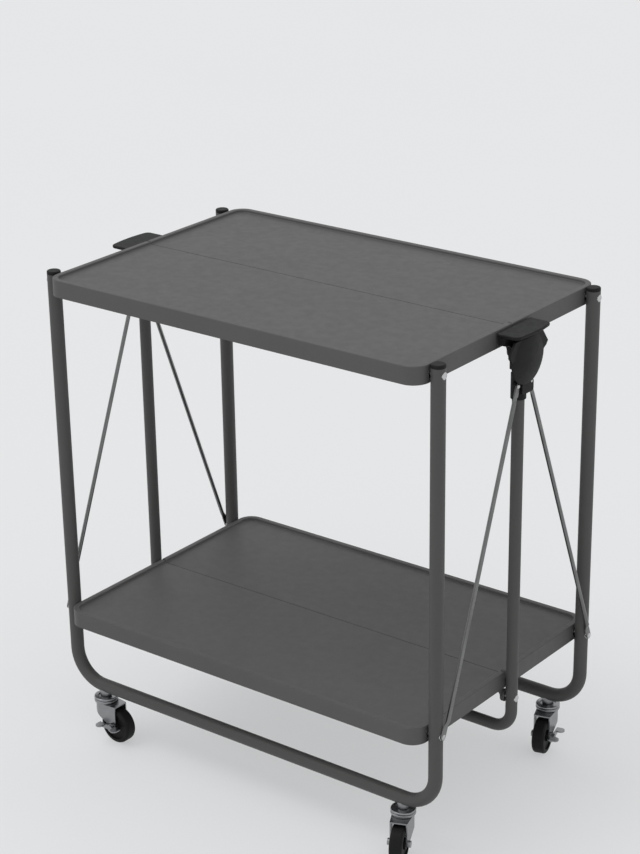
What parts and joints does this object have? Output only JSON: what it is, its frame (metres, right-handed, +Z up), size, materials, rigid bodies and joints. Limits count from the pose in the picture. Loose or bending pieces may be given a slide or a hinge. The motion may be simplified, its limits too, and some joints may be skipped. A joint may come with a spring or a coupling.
{
  "type": "folding serving trolley",
  "caption": "Two-tier serving trolley on casters; both trays split along the middle and fold down when the centre frame is lifted by its end grips.",
  "frame": {"origin": "on the floor, under the middle of the open trolley", "axes": "+X along the trays towards one grip, +Y across the trays, +Z up"},
  "size_m": [0.716, 0.4712, 0.7333],
  "materials": {
    "tray_paint": "matte powder coat",
    "frame_paint": "matte powder coat",
    "black_plastic": "fine texture",
    "rod_steel": "dull",
    "wheel_plastic": "matte",
    "zinc_steel": "zinc plated",
    "fastener_steel": "dull"
  },
  "bodies": {
    "front_frame": {"front_frame_tube": "frame_paint", "front_leg_caps": "black_plastic", "front_pivot_rivets": "fastener_steel", "front_pivot_washers": "fastener_steel", "front_right_caster_stem": "zinc_steel", "front_left_caster_stem": "zinc_steel"},
    "back_frame": {"back_frame_tube": "frame_paint", "back_leg_caps": "black_plastic", "back_pivot_rivets": "fastener_steel", "back_pivot_washers": "fastener_steel", "back_right_caster_stem": "zinc_steel", "back_left_caster_stem": "zinc_steel"},
    "centre_frame": {"centre_frame_tube": "frame_paint", "right_grip": "black_plastic", "left_grip": "black_plastic", "centre_hinge_pins": "fastener_steel", "centre_hinge_washers": "fastener_steel", "right_lever_pin": "fastener_steel", "left_lever_pin": "fastener_steel"},
    "top_front_half": {"top_front_tray": "tray_paint", "top_front_lugs": "tray_paint"},
    "top_back_half": {"top_back_tray": "tray_paint", "top_back_lugs": "tray_paint"},
    "lower_front_half": {"lower_front_tray": "tray_paint", "lower_front_lugs": "tray_paint"},
    "lower_back_half": {"lower_back_tray": "tray_paint", "lower_back_lugs": "tray_paint"},
    "right_lever": {"right_latch_lever": "black_plastic"},
    "right_slider": {"right_collar": "black_plastic", "right_collar_pins": "fastener_steel"},
    "front_right_stay": {"front_right_rod": "rod_steel", "front_right_rod_rivet": "fastener_steel"},
    "back_right_stay": {"back_right_rod": "rod_steel", "back_right_rod_rivet": "fastener_steel"},
    "left_lever": {"left_latch_lever": "black_plastic"},
    "left_slider": {"left_collar": "black_plastic", "left_collar_pins": "fastener_steel"},
    "front_left_stay": {"front_left_rod": "rod_steel", "front_left_rod_rivet": "fastener_steel"},
    "back_left_stay": {"back_left_rod": "rod_steel", "back_left_rod_rivet": "fastener_steel"},
    "front_right_swivel": {"front_right_caster_fork": "zinc_steel", "front_right_caster_axle": "zinc_steel"},
    "front_right_wheel": {"front_right_caster_wheel": "wheel_plastic"},
    "front_left_swivel": {"front_left_caster_fork": "zinc_steel", "front_left_caster_axle": "zinc_steel"},
    "front_left_wheel": {"front_left_caster_wheel": "wheel_plastic"},
    "front_left_brake": {"front_left_caster_brake": "zinc_steel"},
    "back_right_swivel": {"back_right_caster_fork": "zinc_steel", "back_right_caster_axle": "zinc_steel"},
    "back_right_wheel": {"back_right_caster_wheel": "wheel_plastic"},
    "back_right_brake": {"back_right_caster_brake": "zinc_steel"},
    "back_left_swivel": {"back_left_caster_fork": "zinc_steel", "back_left_caster_axle": "zinc_steel"},
    "back_left_wheel": {"back_left_caster_wheel": "wheel_plastic"}
  },
  "joints": [
    {"name": "fold", "type": "hinge", "parent": "front_frame", "child": "top_front_half", "pos_m": [0, -0.186, 0.7185], "axis": [1, 0, 0], "range_deg": [0, 80]},
    {"name": "centre_frame_hinge", "type": "hinge", "parent": "top_front_half", "child": "centre_frame", "pos_m": [0, 0, 0.6945], "axis": [1, 0, 0], "range_deg": [-80, 0]},
    {"name": "top_back_hinge", "type": "hinge", "parent": "centre_frame", "child": "top_back_half", "pos_m": [0, 0, 0.6945], "axis": [1, 0, 0], "range_deg": [-80, 0]},
    {"name": "back_frame_pivot", "type": "hinge", "parent": "top_back_half", "child": "back_frame", "pos_m": [0, 0.186, 0.7185], "axis": [1, 0, 0], "range_deg": [0, 80]},
    {"name": "lower_front_pivot", "type": "hinge", "parent": "front_frame", "child": "lower_front_half", "pos_m": [0, -0.186, 0.2025], "axis": [1, 0, 0], "range_deg": [0, 80]},
    {"name": "lower_back_hinge", "type": "hinge", "parent": "centre_frame", "child": "lower_back_half", "pos_m": [0, 0, 0.1785], "axis": [1, 0, 0], "range_deg": [-80, 0]},
    {"name": "right_collar_slide", "type": "slide", "parent": "centre_frame", "child": "right_slider", "axis": [0, 0, 1], "range_m": [-0.1735, 0]},
    {"name": "front_right_rod_pivot", "type": "hinge", "parent": "right_slider", "child": "front_right_stay", "pos_m": [0.339, -0.014, 0.6515], "axis": [1, 0, 0], "range_deg": [0, 16.06]},
    {"name": "back_right_rod_pivot", "type": "hinge", "parent": "right_slider", "child": "back_right_stay", "pos_m": [0.339, 0.014, 0.6515], "axis": [1, 0, 0], "range_deg": [-16.06, 0]},
    {"name": "right_lever_swing", "type": "hinge", "parent": "centre_frame", "child": "right_lever", "pos_m": [0.342, 0, 0.7145], "axis": [0, -1, 0], "range_deg": [0, 12]},
    {"name": "left_collar_slide", "type": "slide", "parent": "centre_frame", "child": "left_slider", "axis": [0, 0, 1], "range_m": [-0.1735, 0]},
    {"name": "front_left_rod_pivot", "type": "hinge", "parent": "left_slider", "child": "front_left_stay", "pos_m": [-0.339, -0.014, 0.6515], "axis": [1, 0, 0], "range_deg": [0, 16.06]},
    {"name": "back_left_rod_pivot", "type": "hinge", "parent": "left_slider", "child": "back_left_stay", "pos_m": [-0.339, 0.014, 0.6515], "axis": [1, 0, 0], "range_deg": [-16.06, 0]},
    {"name": "left_lever_swing", "type": "hinge", "parent": "centre_frame", "child": "left_lever", "pos_m": [-0.342, 0, 0.7145], "axis": [0, 1, 0], "range_deg": [0, 12]},
    {"name": "front_right_caster_swivel", "type": "hinge", "parent": "front_frame", "child": "front_right_swivel", "pos_m": [0.277, -0.186, 0.0625], "axis": [0, 0, 1], "continuous": true},
    {"name": "front_right_caster_roll", "type": "hinge", "parent": "front_right_swivel", "child": "front_right_wheel", "pos_m": [0.2858, -0.20779, 0.0275], "axis": [0.9272, 0.3746, 0], "continuous": true},
    {"name": "front_left_caster_swivel", "type": "hinge", "parent": "front_frame", "child": "front_left_swivel", "pos_m": [-0.277, -0.186, 0.0625], "axis": [0, 0, 1], "continuous": true},
    {"name": "front_left_caster_roll", "type": "hinge", "parent": "front_left_swivel", "child": "front_left_wheel", "pos_m": [-0.25351, -0.18682, 0.0275], "axis": [0.0349, 0.9994, 0], "continuous": true},
    {"name": "front_left_brake_rock", "type": "hinge", "parent": "front_left_swivel", "child": "front_left_brake", "pos_m": [-0.25351, -0.18682, 0.0275], "axis": [0.0349, 0.9994, 0], "range_deg": [0, 12]},
    {"name": "back_right_caster_swivel", "type": "hinge", "parent": "back_frame", "child": "back_right_swivel", "pos_m": [0.277, 0.186, 0.0625], "axis": [0, 0, 1], "continuous": true},
    {"name": "back_right_caster_roll", "type": "hinge", "parent": "back_right_swivel", "child": "back_right_wheel", "pos_m": [0.28308, 0.1633, 0.0275], "axis": [0.9659, 0.2588, 0], "continuous": true},
    {"name": "back_right_brake_rock", "type": "hinge", "parent": "back_right_swivel", "child": "back_right_brake", "pos_m": [0.28308, 0.1633, 0.0275], "axis": [0.9659, 0.2588, 0], "range_deg": [0, 12]},
    {"name": "back_left_caster_swivel", "type": "hinge", "parent": "back_frame", "child": "back_left_swivel", "pos_m": [-0.277, 0.186, 0.0625], "axis": [0, 0, 1], "continuous": true},
    {"name": "back_left_caster_roll", "type": "hinge", "parent": "back_left_swivel", "child": "back_left_wheel", "pos_m": [-0.2858, 0.20779, 0.0275], "axis": [-0.9272, -0.3746, 0], "continuous": true}
  ],
  "couplings": [
    {"joint": "centre_frame_hinge", "follows": "fold", "ratio": -1},
    {"joint": "top_back_hinge", "follows": "fold", "ratio": -1},
    {"joint": "back_frame_pivot", "follows": "fold", "ratio": 1},
    {"joint": "lower_front_pivot", "follows": "fold", "ratio": 1},
    {"joint": "lower_back_hinge", "follows": "fold", "ratio": -1},
    {"joint": "right_collar_slide", "follows": "fold", "m_per_rad": -0.12392},
    {"joint": "front_right_rod_pivot", "follows": "fold", "ratio": 0.19947},
    {"joint": "back_right_rod_pivot", "follows": "fold", "ratio": -0.19947},
    {"joint": "left_collar_slide", "follows": "fold", "m_per_rad": -0.12392},
    {"joint": "front_left_rod_pivot", "follows": "fold", "ratio": 0.19947},
    {"joint": "back_left_rod_pivot", "follows": "fold", "ratio": -0.19947}
  ]
}
